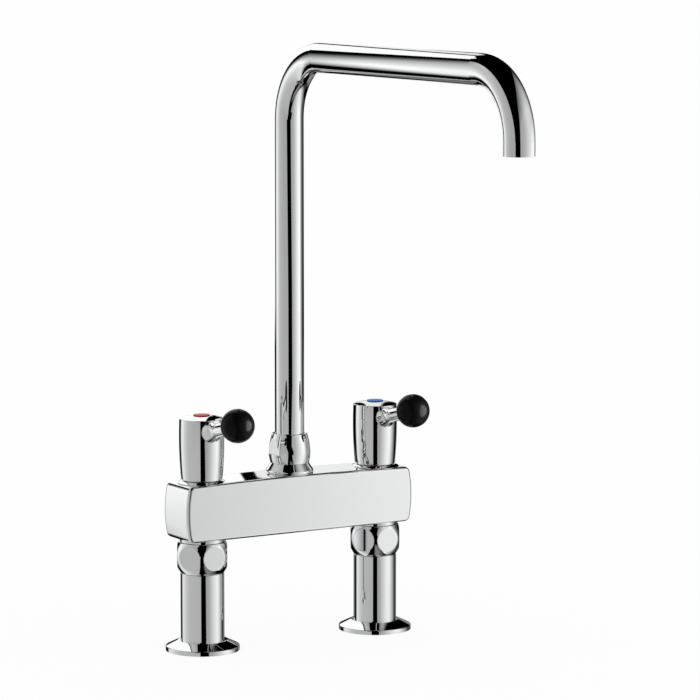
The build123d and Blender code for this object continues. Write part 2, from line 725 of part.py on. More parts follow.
# Spout socket: screws into the body, flares below and carries the spout nut's thread above
gasket_edge = socket_thread_diameter / 2 + socket_gasket_width
with BuildPart() as spout_socket:
    with BuildSketch(upright(0)):
        with BuildLine():
            rim_bulge = (socket_rim_diameter / 2, body_top + socket_rim_height / 2)
            rim_top = (socket_rim_diameter / 2 - socket_rim_draft, body_top + socket_rim_height)
            Polyline(
                rim_top,
                (socket_top_diameter / 2, socket_top),
                (spigot_thread_diameter / 2, socket_top),
                (spigot_thread_diameter / 2, spigot_top),
                (spigot_bore / 2, spigot_top),
                (spigot_bore / 2, socket_thread_low),
                (socket_thread_diameter / 2, socket_thread_low),
                (socket_thread_diameter / 2, body_top + socket_gasket_thickness),
                (gasket_edge, body_top + socket_gasket_thickness),
                (gasket_edge, body_top),
                (socket_foot_diameter / 2, body_top),
            )
            ThreePointArc((socket_foot_diameter / 2, body_top), rim_bulge, rim_top)
        make_face()
    revolve(axis=Axis.Z)
keep(spout_socket, "spout_socket")
keep(
    ring(
        socket_thread_diameter + 2 * thread_clearance,
        2 * gasket_edge - 2 * snug_clearance,
        body_top,
        body_top + socket_gasket_thickness,
    ),
    "spout_socket_gasket",
)

# Spout nut: acorn shaped, with a wrench flat on the left and on the right
with BuildPart() as spout_nut:
    with BuildSketch(upright(0)) as spout_nut_section:
        with BuildLine():
            nut_crown = (spout_nut_top_diameter / 2, spout_nut_top)
            nut_shoulder = (spout_nut_shoulder_diameter / 2, spout_nut_low + spout_nut_shoulder_height)
            nut_belly = (spout_nut_belly_diameter / 2, spout_nut_low + spout_nut_belly_height)
            nut_hip = (spout_nut_hip_diameter / 2, spout_nut_low + spout_nut_hip_height)
            nut_foot = (spout_nut_foot_diameter / 2, spout_nut_low)
            ThreePointArc(nut_crown, nut_shoulder, nut_belly)
            ThreePointArc(nut_belly, nut_hip, nut_foot)
            Polyline(
                nut_foot,
                (nut_thread_bore / 2, spout_nut_low),
                (nut_thread_bore / 2, spout_nut_seat),
                (nut_collar_bore / 2, spout_nut_seat),
                (nut_collar_bore / 2, spout_nut_top),
                nut_crown,
            )
        make_face()
        corner_crown = spout_nut_section.vertices().group_by(Axis.Y)[-1].sort_by(Axis.X)[-1]
        fillet(corner_crown, radius=spout_nut_edge_radius)
        corner_foot = spout_nut_section.vertices().group_by(Axis.Y)[0].sort_by(Axis.X)[-1]
        fillet(corner_foot, radius=spout_nut_edge_radius)
    revolve(axis=Axis.Z)
    with BuildSketch(Plane.XY.offset(spout_nut_low + spout_nut_flat_start)):
        with GridLocations(2 * spout_nut_across_flats, 0, 2, 1):
            Rectangle(spout_nut_across_flats, 2 * spout_nut_across_flats)
    extrude(amount=spout_nut_height, mode=Mode.SUBTRACT)
keep(spout_nut, "spout_nut")

# Slip washers below and above the swivel collar
keep(
    ring(spigot_bore, bush_collar_diameter, spigot_top, spigot_top + slip_washer_thickness),
    "lower_slip_washer",
)
keep(
    ring(nut_collar_bore, bush_collar_diameter, spout_nut_seat - slip_washer_thickness, spout_nut_seat),
    "upper_slip_washer",
)

# Swivel bush: turns in the socket on two sealing rings, with the spout tube fixed over its upper end
ring_levels = [bush_low + height for height in swivel_ring_heights]
with BuildPart() as swivel_bush:
    with BuildSketch(upright(0)):
        with BuildLine():
            Polyline(
                (bush_bore / 2, bush_low),
                (bush_diameter / 2, bush_low),
                (bush_diameter / 2, bush_collar_low),
                (bush_collar_diameter / 2, bush_collar_low),
                (bush_collar_diameter / 2, bush_collar_top),
                (tube_bore / 2 - snug_clearance, bush_collar_top),
                (tube_bore / 2 - snug_clearance, bush_collar_top + bush_spigot_length),
                (bush_bore / 2, bush_collar_top + bush_spigot_length),
                close=True,
            )
        make_face()
    revolve(axis=Axis.Z)
    for level in ring_levels:
        with BuildSketch(Plane.XY.offset(level - swivel_ring_section / 2 - snug_clearance)):
            Circle(bush_diameter)
            Circle(bush_diameter / 2 - swivel_ring_section - snug_clearance, mode=Mode.SUBTRACT)
        extrude(amount=swivel_ring_section + 2 * snug_clearance, mode=Mode.SUBTRACT)
keep(swivel_bush, "swivel_bush")
keep(round_rings(bush_diameter, swivel_ring_section, ring_levels), "swivel_o_rings")

# Spout tube: a riser, a level run to the front and a short drop, joined by two bends
with BuildPart() as spout_tube:
    with BuildLine():
        FilletPolyline(
            (0, 0, bush_collar_top),
            (0, 0, spout_run_height),
            (0, -spout_reach, spout_run_height),
            (0, -spout_reach, spout_outlet_height),
            radius=spout_bend_radius,
        )
    with BuildSketch(Plane.XY.offset(bush_collar_top)):
        Circle(tube_diameter / 2)
        Circle(tube_bore / 2, mode=Mode.SUBTRACT)
    sweep()
keep(spout_tube, "spout_tube")

# Flow straightener: a ring with crossing vanes, set back inside the outlet
with BuildPart() as flow_straightener:
    with BuildSketch(Plane.XY.offset(spout_outlet_height + straightener_recess)):
        with Locations((0, -spout_reach)):
            Circle(tube_bore / 2 - snug_clearance)
            Circle(tube_bore / 2 - snug_clearance - straightener_wall, mode=Mode.SUBTRACT)
            for vane in range(straightener_vane_count):
                Rectangle(
                    tube_bore - straightener_wall,
                    straightener_wall,
                    rotation=vane * 180 / straightener_vane_count,
                )
    extrude(amount=straightener_height)
keep(flow_straightener, "flow_straightener")
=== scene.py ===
"""Looks of a two-hole bridge mixer tap: finishes, light tent, studio and camera."""

import json
from math import cos, pi, radians, sin

import bmesh
import bpy
from bpy.props import FloatProperty, FloatVectorProperty, PointerProperty
from mathutils import Matrix

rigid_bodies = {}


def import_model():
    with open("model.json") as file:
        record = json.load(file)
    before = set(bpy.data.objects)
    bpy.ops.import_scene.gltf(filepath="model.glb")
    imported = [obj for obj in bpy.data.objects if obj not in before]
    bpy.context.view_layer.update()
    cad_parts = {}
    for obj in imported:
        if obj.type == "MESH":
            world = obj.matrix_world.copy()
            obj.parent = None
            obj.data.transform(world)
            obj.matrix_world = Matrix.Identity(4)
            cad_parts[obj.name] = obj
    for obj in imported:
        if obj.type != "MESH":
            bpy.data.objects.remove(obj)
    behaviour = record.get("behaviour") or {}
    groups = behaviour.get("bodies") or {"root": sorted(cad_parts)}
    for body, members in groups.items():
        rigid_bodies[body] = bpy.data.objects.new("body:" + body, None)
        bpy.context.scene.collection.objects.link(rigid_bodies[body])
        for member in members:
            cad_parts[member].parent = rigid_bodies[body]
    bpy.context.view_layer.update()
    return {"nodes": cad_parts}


for leftover in list(bpy.data.objects):
    bpy.data.objects.remove(leftover)

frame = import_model()

bl_info = {
    "name": "Bridge mixer tap",
    "version": (1, 0, 0),
    "blender": (4, 5, 0),
    "location": "3D View > Sidebar > Tap",
    "description": "Finishes a bridge mixer tap round its packed frame and sets up its studio",
    "category": "Object",
}

SIDES = ("hot", "cold")
WHITE = (1.0, 1.0, 1.0)

# Sockets of a Mix node that blends colours
FIRST_COLOUR = 6
SECOND_COLOUR = 7
BLENDED_COLOUR = 2

# Fineness of the stage's two meshes
FLOOR_SIDES = 64
TENT_SIDES = 96
TENT_RINGS = 48

# Width of the camera's sensor in millimetres, and how far it sees in metres
SENSOR_WIDTH = 36.0
VIEW_RANGE = 200.0


def colour(name, description, default):
    """A colour that a user may change."""
    return FloatVectorProperty(
        name=name, description=description, default=default, size=3, min=0.0, max=1.0, subtype="COLOR"
    )


def length(name, description, default):
    """A length in metres that a user may change."""
    return FloatProperty(
        name=name, description=description, default=default, min=0.0, subtype="DISTANCE", unit="LENGTH"
    )


def offset(name, description, default):
    """A place along one axis, in metres to either side, that a user may change."""
    return FloatProperty(
        name=name, description=description, default=default, subtype="DISTANCE", unit="LENGTH"
    )


def spot(name, description, default):
    """Three lengths in metres that a user may change."""
    return FloatVectorProperty(
        name=name, description=description, default=default, size=3, subtype="TRANSLATION", unit="LENGTH"
    )


def share(name, description, default):
    """A number from 0 to 1 that a user may change."""
    return FloatProperty(
        name=name, description=description, default=default, min=0.0, max=1.0, subtype="FACTOR"
    )


def number(name, description, default, unit="NONE"):
    """A number from 0 upwards that a user may change."""
    return FloatProperty(name=name, description=description, default=default, min=0.0, unit=unit)


def turn(name, description, default):
    """An angle, given in degrees, that a user may change."""
    return FloatProperty(
        name=name, description=description, default=radians(default), subtype="ANGLE", unit="ROTATION"
    )


class TapFinish(bpy.types.PropertyGroup):
    """Colours and polish of the tap's materials."""

    chrome: colour("Chrome", "Plated surfaces", (0.9, 0.905, 0.91))
    chrome_gloss: share("Chrome roughness", "How soft the reflections in the plating are", 0.02)
    knob: colour("Knob", "Ball knobs", (0.002, 0.002, 0.0021))
    hot_cap: colour("Hot cap", "Index cap of the hot valve", (0.45, 0.012, 0.015))
    cold_cap: colour("Cold cap", "Index cap of the cold valve", (0.008, 0.11, 0.36))
    # Brass darkened below its real tone: the darkening is painted shade for the thin gap between each
    # handle and its collar, where the brass shows
    brass_with_painted_shade: colour("Brass", "Bare brass inside the tap", (0.3, 0.2, 0.075))
    rubber: colour("Rubber", "Gaskets and sealing rings", (0.018, 0.018, 0.019))
    ceramic: colour("Ceramic", "Valve discs", (0.82, 0.8, 0.75))
    steel: colour("Steel", "Screws and clips", (0.5, 0.5, 0.49))
    slip: colour("Slip plastic", "Slip washers", (0.8, 0.8, 0.77))
    insert: colour("Insert plastic", "Flow straightener", (0.32, 0.33, 0.34))


class TapStudio(bpy.types.PropertyGroup):
    """Camera, floor, lights and the sheets of the light tent."""

    camera_place: spot("Camera place", "Where the camera stands", (-1.3191, -2.25915, 0.54693))
    camera_heading: turn("Camera heading", "Turn of the view away from +Y, to the right", 31.27)
    camera_pitch: turn("Camera pitch", "How far the view points down", 7.15)
    camera_lens: number("Lens", "Focal length on a 36 mm sensor", 181.86)
    floor_radius: length("Floor radius", "Half width of the floor", 40.0)
    floor_colour: colour("Floor", "Pale floor", (0.95, 0.95, 0.95))
    floor_glow: share("Floor glow", "How much of the floor's white comes without light", 0.9)
    room_light: share("Room light", "Strength of the even light from all sides", 0.95)
    knob_light: number("Knob light", "Power of the soft light on the ball knobs", 12.0, "POWER")
    knob_light_place: spot("Knob light place", "Where that light stands", (0.43, -0.31, 0.16))
    knob_light_aim: spot("Knob light aim", "Where that light points", (0.0, -0.055, 0.16))
    knob_light_size: length("Knob light size", "Width of that light", 0.7)
    tent_size: spot("Tent size", "Half width, half depth and half height", (0.75, 1.05, 0.75))
    tent_centre: spot(
        "Tent centre",
        "Middle of the tent: to the right, away and up as the camera sees it",
        (-0.15, -0.35, 0.2),
    )
    tent_glow: number("Tent glow", "Strength of the tent's light in the plating", 1.11)
    sheet_eye: length("Sheet eye", "Height from which the sheets' upper edges are laid out", 0.4)
    left_heading: turn("Left sheet heading", "Direction of the left sheet, right of the camera", -68.0)
    left_rise: number("Left sheet rise", "Steepness up to the left sheet's upper edge", 1.54)
    left_end: turn("Left sheet end", "Direction where the left sheet ends at the back, low down", -127.5)
    left_lean: turn("Left sheet lean", "How far that end leans forward at the top", 7.5)
    right_heading: turn("Right sheet heading", "Direction of the right sheet, right of the camera", 78.0)
    right_rise: number("Right sheet rise", "Steepness up to the right sheet's upper edge", 1.28)
    gap_left: offset("Gap left", "Left edge of the dark gap in front, low down", -0.16)
    gap_slant: length("Gap slant", "How far the gap's left edge leans out higher up", 0.25)
    gap_right: length("Gap right", "Right edge of the dark gap in front, low down", 0.3)
    gap_bulge: length("Gap bulge", "How much further out that edge is half way up", 0.13)
    back_end: turn("Back sheet end", "Direction where the sheet behind begins, low down", -145.0)
    back_lean: turn("Back sheet lean", "How far that end leans forward at the top", 15.0)
    back_top: length("Back sheet top", "Upper edge of the sheets behind, at their middle", 0.8)
    back_slope: share("Back sheet slope", "How steeply that edge rises to the left", 0.35)
    seam_left: offset(
        "Seam left", "Left edge of the dark seam behind, as the tap's body shows it", -0.061
    )
    seam_lean: share("Seam lean", "How steeply the seam leans to the right", 0.3)
    seam_width: length("Seam width", "Width of the seam", 0.0135)
    seam_spread: length("Seam spread", "How much wider the seam is above the tap's body", 0.04)


class Signal:
    """A shader socket that can be used in Python sums."""

    def __init__(self, shader, socket):
        self.shader = shader
        self.socket = socket

    def sum(self, operation, left, right):
        """One Math node on two values."""
        return self.shader.node("ShaderNodeMath", {"operation": operation}, {0: left, 1: right})

    def __add__(self, other):
        return self.sum("ADD", self, other)

    __radd__ = __add__

    def __sub__(self, other):
        return self.sum("SUBTRACT", self, other)

    def __rsub__(self, other):
        return self.sum("SUBTRACT", other, self)

    def __mul__(self, other):
        return self.sum("MULTIPLY", self, other)

    __rmul__ = __mul__

    def __truediv__(self, other):
        return self.sum("DIVIDE", self, other)

    def angle(self, other):
        """The angle of the direction with this value as its sine and the other as its cosine."""
        return self.sum("ARCTAN2", self, other)

    def top(self, other):
        """The greater of the two."""
        return self.sum("MAXIMUM", self, other)

    def fade(self, none, full):
        """Zero up to the first value, one from the second one on and even between them."""
        return self.shader.node(
            "ShaderNodeMapRange", {}, {"Value": self, "From Min": none, "From Max": full}
        )


class Shader:
    """The nodes of one material or world, made one call at a time."""

    def __init__(self, owner):
        owner.use_nodes = True
        self.tree = owner.node_tree
        self.tree.nodes.clear()

    def node(self, kind, settings=None, sockets=None, output=0):
        """Adds a node, sets it up, fills or links its sockets and returns one of its outputs."""
        made = self.tree.nodes.new(kind)
        for key, value in (settings or {}).items():
            if key == "stops":
                self.set_stops(made.color_ramp, value)
            else:
                setattr(made, key, value)
        for key, value in (sockets or {}).items():
            if isinstance(value, Signal):
                self.tree.links.new(value.socket, made.inputs[key])
            else:
                made.inputs[key].default_value = value
        if not made.outputs:
            return None
        return Signal(self, made.outputs[output])

    def set_stops(self, ramp, stops):
        """Gives a ramp its (position, brightness) stops."""
        while len(ramp.elements) > 1:
            ramp.elements.remove(ramp.elements[-1])
        for order, (place, level) in enumerate(stops):
            stop = ramp.elements[0] if order == 0 else ramp.elements.new(place)
            stop.position = place
            stop.color = (level, level, level, 1.0)

    def place(self):
        """Coordinates of the surface point in the shared frame."""
        return self.node("ShaderNodeTexCoord", output="Object")

    def noise(self, scale, detail=2.0, stretch=(1.0, 1.0, 1.0)):
        """Soft noise on the piece, about 0.5 on average."""
        spread = self.node("ShaderNodeMapping", {}, {"Vector": self.place(), "Scale": stretch})
        return self.node(
            "ShaderNodeTexNoise", {}, {"Vector": spread, "Scale": scale, "Detail": detail}, "Fac"
        )

    def tint(self, amount, rgb, darkest, lightest):
        """A colour that varies between a darker and a lighter shade of itself."""
        shades = {FIRST_COLOUR: opaque(rgb, darkest), SECOND_COLOUR: opaque(rgb, lightest)}
        return self.node(
            "ShaderNodeMix", {"data_type": "RGBA"}, {"Factor": amount, **shades}, BLENDED_COLOUR
        )

    def bump(self, height, depth):
        """A normal from heights between 0 and 1 times a depth in metres."""
        return self.node("ShaderNodeBump", {}, {"Height": height, "Distance": depth})

    def white_glow(self, kind):
        """Plain white light of the given kind, at the strength that shows as white."""
        return self.node(kind, {}, {"Color": opaque(WHITE), "Strength": 1.0})

    def surface(self, **sockets):
        """Ends a material in one principled surface."""
        named = {key.replace("_", " "): value for key, value in sockets.items()}
        finish = self.node("ShaderNodeBsdfPrincipled", {}, named)
        self.node("ShaderNodeOutputMaterial", {}, {"Surface": finish})


def new_material(name):
    """An empty material and its shader."""
    made = bpy.data.materials.new(name)
    return made, Shader(made)


def opaque(rgb, level=1.0):
    """A colour with its alpha, brightened or darkened."""
    return tuple(level * part for part in rgb) + (1.0,)


def chrome_finish(finish):
    """Polished plating with a faint cloudiness in the polish."""
    made, shader = new_material("polished_chrome")
    haze = shader.noise(scale=55.0, detail=3.0)
    shader.surface(
        Base_Color=shader.tint(haze, finish.chrome, darkest=0.985, lightest=1.0),
        Metallic=1.0,
        Roughness=finish.chrome_gloss + 0.015 * haze,
    )
    return made


def knob_finish(finish):
    """Moulded black plastic with a soft gloss."""
    made, shader = new_material("black_knob_plastic")
    cloud = shader.noise(scale=160.0, detail=3.0)
    shader.surface(
        Base_Color=shader.tint(cloud, finish.knob, darkest=0.8, lightest=1.2),
        Roughness=0.2 + 0.05 * cloud,
        Normal=shader.bump(shader.noise(scale=90.0), depth=0.000006),
        Specular_IOR_Level=0.1,
    )
    return made


def cap_finish(name, rgb):
    """Enamelled plastic of an index cap."""
    made, shader = new_material(name)
    cloud = shader.noise(scale=220.0, detail=3.0)
    shader.surface(
        Base_Color=shader.tint(cloud, rgb, darkest=0.88, lightest=1.1),
        Roughness=0.3 + 0.08 * cloud,
        Specular_IOR_Level=0.35,
    )
    return made


def brass_finish(finish):
    """Machined brass with fine turning marks; its colour is darkened below real brass as painted shade
    for the gaps where it shows.
    """
    made, shader = new_material("machined_brass")
    marks = shader.noise(scale=900.0, stretch=(0.06, 0.06, 1.0))
    stain = shader.noise(scale=120.0, detail=3.0)
    shader.surface(
        Base_Color=shader.tint(stain, finish.brass_with_painted_shade, darkest=0.82, lightest=1.1),
        Metallic=1.0,
        Roughness=0.22 + 0.16 * marks,
        Normal=shader.bump(marks, depth=0.00002),
    )
    return made


def rubber_finish(finish):
    """Matt sealing rubber."""
    made, shader = new_material("sealing_rubber")
    grain = shader.noise(scale=1400.0, detail=3.0)
    shader.surface(
        Base_Color=shader.tint(grain, finish.rubber, darkest=0.7, lightest=1.5),
        Roughness=0.62 + 0.2 * grain,
        Normal=shader.bump(grain, depth=0.00003),
    )
    return made


def ceramic_finish(finish):
    """Lapped white ceramic with a fine speckle."""
    made, shader = new_material("lapped_ceramic")
    speck = shader.noise(scale=2200.0)
    shader.surface(
        Base_Color=shader.tint(speck, finish.ceramic, darkest=0.9, lightest=1.06),
        Roughness=0.14 + 0.1 * speck,
        Coat_Weight=0.2,
    )
    return made


def steel_finish(finish):
    """Drawn steel with a satin grain."""
    made, shader = new_material("satin_steel")
    grain = shader.noise(scale=1600.0, stretch=(1.0, 1.0, 0.08))
    shader.surface(
        Base_Color=shader.tint(grain, finish.steel, darkest=0.85, lightest=1.1),
        Metallic=1.0,
        Roughness=0.3 + 0.14 * grain,
        Normal=shader.bump(grain, depth=0.00001),
    )
    return made


def plastic_finish(name, rgb):
    """Plain moulded plastic with a faint texture."""
    made, shader = new_material(name)
    grain = shader.noise(scale=900.0, detail=3.0)
    shader.surface(
        Base_Color=shader.tint(grain, rgb, darkest=0.92, lightest=1.06),
        Roughness=0.42 + 0.14 * grain,
        Normal=shader.bump(grain, depth=0.00001),
    )
    return made


def dress(node, material):
    """Gives a CAD node a finish in place of its plain colour."""
    slots = frame["nodes"][node].data.materials
    slots.clear()
    slots.append(material)


def dress_sides(names, material):
    """Gives the same finish to pieces of the hot side and of the cold side."""
    for side in SIDES:
        for name in names:
            dress(f"{side}_{name}", material)


class TAP_OT_chrome_pieces(bpy.types.Operator):
    """Plates the visible metal pieces"""

    bl_idname = "tap.chrome_pieces"
    bl_label = "Chrome pieces"

    def execute(self, context):
        chrome = chrome_finish(context.scene.tap_finish)
        for node in ("bridge_body", "spout_socket", "spout_nut", "spout_tube"):
            dress(node, chrome)
        pairs = ("column", "deck_flange", "union_nut", "handle_collar", "handle", "lever_stem")
        dress_sides(pairs, chrome)
        return {"FINISHED"}


class TAP_OT_knobs_and_caps(bpy.types.Operator):
    """Finishes the ball knobs and the index caps"""

    bl_idname = "tap.knobs_and_caps"
    bl_label = "Knobs and caps"

    def execute(self, context):
        finish = context.scene.tap_finish
        dress_sides(("ball_knob",), knob_finish(finish))
        dress("hot_index_cap", cap_finish("red_cap_enamel", finish.hot_cap))
        dress("cold_index_cap", cap_finish("blue_cap_enamel", finish.cold_cap))
        return {"FINISHED"}


class TAP_OT_inner_pieces(bpy.types.Operator):
    """Finishes the valves, seals and other pieces inside"""

    bl_idname = "tap.inner_pieces"
    bl_label = "Inner pieces"

    def execute(self, context):
        finish = context.scene.tap_finish
        # The brass colour carries painted shade: it is darkened so the gaps where it shows read dark
        brass_with_painted_shade = brass_finish(finish)
        rubber = rubber_finish(finish)
        slip = plastic_finish("slip_plastic", finish.slip)
        seals = ("deck_gasket", "union_washer", "headwork_gasket", "seat_seal", "spindle_o_ring")
        dress_sides(("union_tailpiece", "headwork_body", "spindle"), brass_with_painted_shade)
        dress("swivel_bush", brass_with_painted_shade)
        dress_sides(seals, rubber)
        dress("spout_socket_gasket", rubber)
        dress("swivel_o_rings", rubber)
        dress_sides(("fixed_disc", "moving_disc"), ceramic_finish(finish))
        dress_sides(("handle_screw", "spindle_clip"), steel_finish(finish))
        dress("lower_slip_washer", slip)
        dress("upper_slip_washer", slip)
        dress("flow_straightener", plastic_finish("insert_plastic", finish.insert))
        return {"FINISHED"}


# Brightness of the left and the right sheet low down, by degrees to the right of the camera
LOW_SHEETS = {
    -134.0: 0.9,
    -117.0: 0.75,
    -100.0: 0.66,
    -85.0: 0.54,
    -68.0: 0.45,
    -15.0: 0.42,
    15.0: 0.33,
    29.0: 0.36,
    44.0: 0.53,
    67.0: 0.77,
    82.0: 0.85,
    95.0: 0.68,
    112.0: 0.36,
    125.0: 0.04,
    149.0: 0.05,
}

# The same at the height of the spout
HIGH_SHEETS = {
    -134.0: 1.0,
    -114.0: 1.0,
    -101.0: 0.83,
    -89.0: 0.61,
    -72.0: 0.45,
    -40.0: 0.37,
    15.0: 0.34,
    36.0: 0.42,
    53.0: 0.62,
    71.0: 0.87,
    82.0: 1.0,
    92.0: 0.95,
    103.0: 0.47,
    117.0: 0.06,
    149.0: 0.08,
}

# Brightness of the sheets behind, of the faint glow low down and of the right sheet's top
WHITE_SHEET = 0.97
GREY_SHEET = 0.8
LOW_LEFT_GLOW = 0.15
LOW_RIGHT_GLOW = 0.22
UNDER_GLOW = 0.2
RIGHT_TOP_LEVEL = 0.2

# What the upper corners of the left and the right sheet lose of their brightness
LEFT_LOSS = 0.92
RIGHT_LOSS = 0.6

# Softness of the sheets' edges: in metres, and in radians for the ends that follow a direction
GAP_EDGE = 0.006
TOP_EDGE = 0.012
SEAM_EDGE = 0.002
LEFT_END_EDGE = 0.2
WHITE_END_EDGE = 0.02

# Heights from which and to which a part of the tent changes, in metres
ENDS_LEAN = (0.0, 0.75)
GAP_LEANS = (0.1, 0.335)
GAP_WIDENS = (-0.02, 0.05)
GAP_NARROWS = (0.15, 0.35)
SHEETS_BRIGHTEN = (-0.1, 0.22)
LEFT_DIMS = (0.28, 0.73)
RIGHT_DIMS = (0.36, 0.48)
BACK_STARTS = (0.13, 0.17)
GREY_STARTS = (0.195, 0.205)
SEAM_LEANS = (0.2, 0.28)
SEAM_SPREADS = (0.25, 0.264)
LOW_GLOW_STARTS = (-0.15, -0.12)
LOW_GLOW_STOPS = (0.16, 0.13)
LOW_LEFT_STOPS = (0.02, -0.01)
UNDER_STARTS = (-0.35, -0.47)

# How many times what it widened the gap narrows
GAP_NARROWING = 1.2

# Height at which the seam is where its left edge is given, in metres
SEAM_MIDDLE = 0.245

# Depths below the right sheet's laid out edge between which it starts and brightens, in metres
RIGHT_STARTS = (0.12, 0.13)
RIGHT_BRIGHTENS = (0.12, 0.5)

# Places to the right of the tap, or behind it, from which and to which something changes, in metres
GREY_STOPS = (0.12, 0.1)
LOW_LEFT_SIDE = (0.05, -0.05)
LOW_RIGHT_SIDE = (0.0, 0.05)
UNDER_RIGHT = (0.03, 0.1)
UNDER_AWAY = (-0.1, 0.05)
BACK_AWAY = (0.0, 0.02)

# Directions to the right of the camera from which and to which something changes, in radians
LEFT_TURNS_BACK = (radians(-80.0), radians(-120.0))
RIGHT_TURNS_BACK = (radians(55.0), radians(95.0))
RIGHT_STOPS = (radians(150.0), radians(150.0) - 0.02)
LOW_RIGHT_STARTS = (radians(143.0), radians(143.0) + 0.1)

# Angles past the left end of the sheet behind between which the glow on the left starts, in radians
LOW_LEFT_STARTS = (-0.01, 0.01)


class TentPoint:
    """A point of the tent as the camera sees it: to the right, away and up, and its direction."""

    def __init__(self, shader, heading):
        lined_up = shader.node(
            "ShaderNodeMapping", {}, {"Vector": shader.place(), "Rotation": (0.0, 0.0, heading)}
        )
        self.across, self.away, self.height = (
            shader.node("ShaderNodeSeparateXYZ", {}, {"Vector": lined_up}, axis) for axis in "XYZ"
        )
        self.direction = self.across.angle(0.0 - self.away)

    def below(self, eye, heading, rise):
        """How far the point lies below an edge that rises from the eye's height in one direction."""
        ahead = self.across * sin(heading) - self.away * cos(heading)
        return eye + rise * ahead - self.height


def by_direction(shader, point, levels):
    """Brightness that changes with the direction, from levels by degrees."""
    stops = [(angle / 360.0 + 0.5, level) for angle, level in levels.items()]
    around = point.direction / (2 * pi) + 0.5
    return shader.node("ShaderNodeValToRGB", {"stops": stops}, {"Fac": around})


def left_sheet(studio, point):
    """The left sheet, from the gap in front to its end at the back, where it is dimmer higher up."""
    gap_edge = studio.gap_left - studio.gap_slant * point.height.fade(*GAP_LEANS)
    end = studio.left_end + studio.left_lean * point.height.fade(*ENDS_LEAN)
    below = point.below(studio.sheet_eye, studio.left_heading, studio.left_rise)
    loss = point.direction.fade(*LEFT_TURNS_BACK) * point.height.fade(*LEFT_DIMS) * LEFT_LOSS
    wide = (gap_edge - point.across).fade(0.0, GAP_EDGE)
    wide = wide * (point.direction - end).fade(0.0, LEFT_END_EDGE)
    return wide * below.fade(0.0, TOP_EDGE) * (1.0 - loss)


def right_sheet(studio, point):
    """The right sheet, from the gap in front to the back, dimmer towards its upper edge."""
    bulge = point.height.fade(*GAP_WIDENS) - GAP_NARROWING * point.height.fade(*GAP_NARROWS)
    below = point.below(studio.sheet_eye, studio.right_heading, studio.right_rise)
    rising = RIGHT_TOP_LEVEL + (1.0 - RIGHT_TOP_LEVEL) * below.fade(*RIGHT_BRIGHTENS)
    loss = point.direction.fade(*RIGHT_TURNS_BACK) * point.height.fade(*RIGHT_DIMS) * RIGHT_LOSS
    wide = (point.across - studio.gap_right - studio.gap_bulge * bulge).fade(0.0, GAP_EDGE)
    wide = wide * point.direction.fade(*RIGHT_STOPS)
    return wide * below.fade(*RIGHT_STARTS) * rising * (1.0 - loss)


def past_back_end(studio, point):
    """How far a direction lies past the left end of the sheet behind."""
    return studio.back_end + studio.back_lean * point.height.fade(*ENDS_LEAN) - point.direction


def back_sheets(studio, point):
    """The white and the grey sheet behind, with the dark seam between them."""
    below = studio.back_top - studio.back_slope * point.across - point.height
    behind = point.away.fade(*BACK_AWAY) * point.height.fade(*BACK_STARTS) * below.fade(0.0, TOP_EDGE)
    foot, head = SEAM_LEANS
    climb = (head - foot) * point.height.fade(foot, head) - (SEAM_MIDDLE - foot)
    past_seam = point.across - studio.seam_left - studio.seam_lean * climb
    spread = studio.seam_width + studio.seam_spread * point.height.fade(*SEAM_SPREADS)
    white = past_seam.fade(0.0, -SEAM_EDGE) * past_back_end(studio, point).fade(0.0, WHITE_END_EDGE)
    grey = (past_seam - spread).fade(0.0, SEAM_EDGE) * point.across.fade(*GREY_STOPS)
    grey = grey * point.height.fade(*GREY_STARTS)
    return behind * (white * WHITE_SHEET + grey * GREY_SHEET)


def low_glow(studio, point):
    """The faint glow low down behind the tap, at both sides of it, and under it."""
    behind = point.away.fade(*BACK_AWAY)
    behind = behind * point.height.fade(*LOW_GLOW_STARTS) * point.height.fade(*LOW_GLOW_STOPS)
    left = past_back_end(studio, point).fade(*LOW_LEFT_STARTS)
    left = left * point.across.fade(*LOW_LEFT_SIDE) * point.height.fade(*LOW_LEFT_STOPS)
    right = point.direction.fade(*LOW_RIGHT_STARTS) * point.across.fade(*LOW_RIGHT_SIDE)
    under = point.away.fade(*UNDER_AWAY).top(point.across.fade(*UNDER_RIGHT))
    under = under * point.height.fade(*UNDER_STARTS)
    return (behind * (left * LOW_LEFT_GLOW + right * LOW_RIGHT_GLOW)).top(under * UNDER_GLOW)


def tent_finish(studio):
    """Glow of the tent: a left and a right sheet, sheets behind, and dark gaps between them."""
    made, shader = new_material("tent_glow")
    point = TentPoint(shader, studio.camera_heading)
    low = by_direction(shader, point, LOW_SHEETS)
    high = by_direction(shader, point, HIGH_SHEETS)
    brightness = low + (high - low) * point.height.fade(*SHEETS_BRIGHTEN)
    sides = (left_sheet(studio, point) + right_sheet(studio, point)) * brightness
    level = (sides + back_sheets(studio, point)).top(low_glow(studio, point))
    glow = shader.node("ShaderNodeEmission", {}, {"Color": level, "Strength": studio.tent_glow})
    shader.node("ShaderNodeOutputMaterial", {}, {"Surface": glow})
    return made


def floor_finish(studio):
    """Pale floor that shows white to the camera and keeps the shadow."""
    made, shader = new_material("pale_floor")
    grain = shader.noise(scale=3.0)
    pale = shader.tint(grain, studio.floor_colour, darkest=0.99, lightest=1.0)
    matt = shader.node("ShaderNodeBsdfDiffuse", {}, {"Color": pale})
    white = shader.white_glow("ShaderNodeEmission")
    seen = shader.node("ShaderNodeLightPath", output="Is Camera Ray")
    mirrored = shader.node("ShaderNodeLightPath", output="Is Glossy Ray")
    through = shader.node("ShaderNodeLightPath", output="Is Transmission Ray")
    shown = seen.top(mirrored).top(through) * studio.floor_glow
    mixed = shader.node("ShaderNodeMixShader", {}, {0: shown, 1: matt, 2: white})
    shader.node("ShaderNodeOutputMaterial", {}, {"Surface": mixed})
    return made


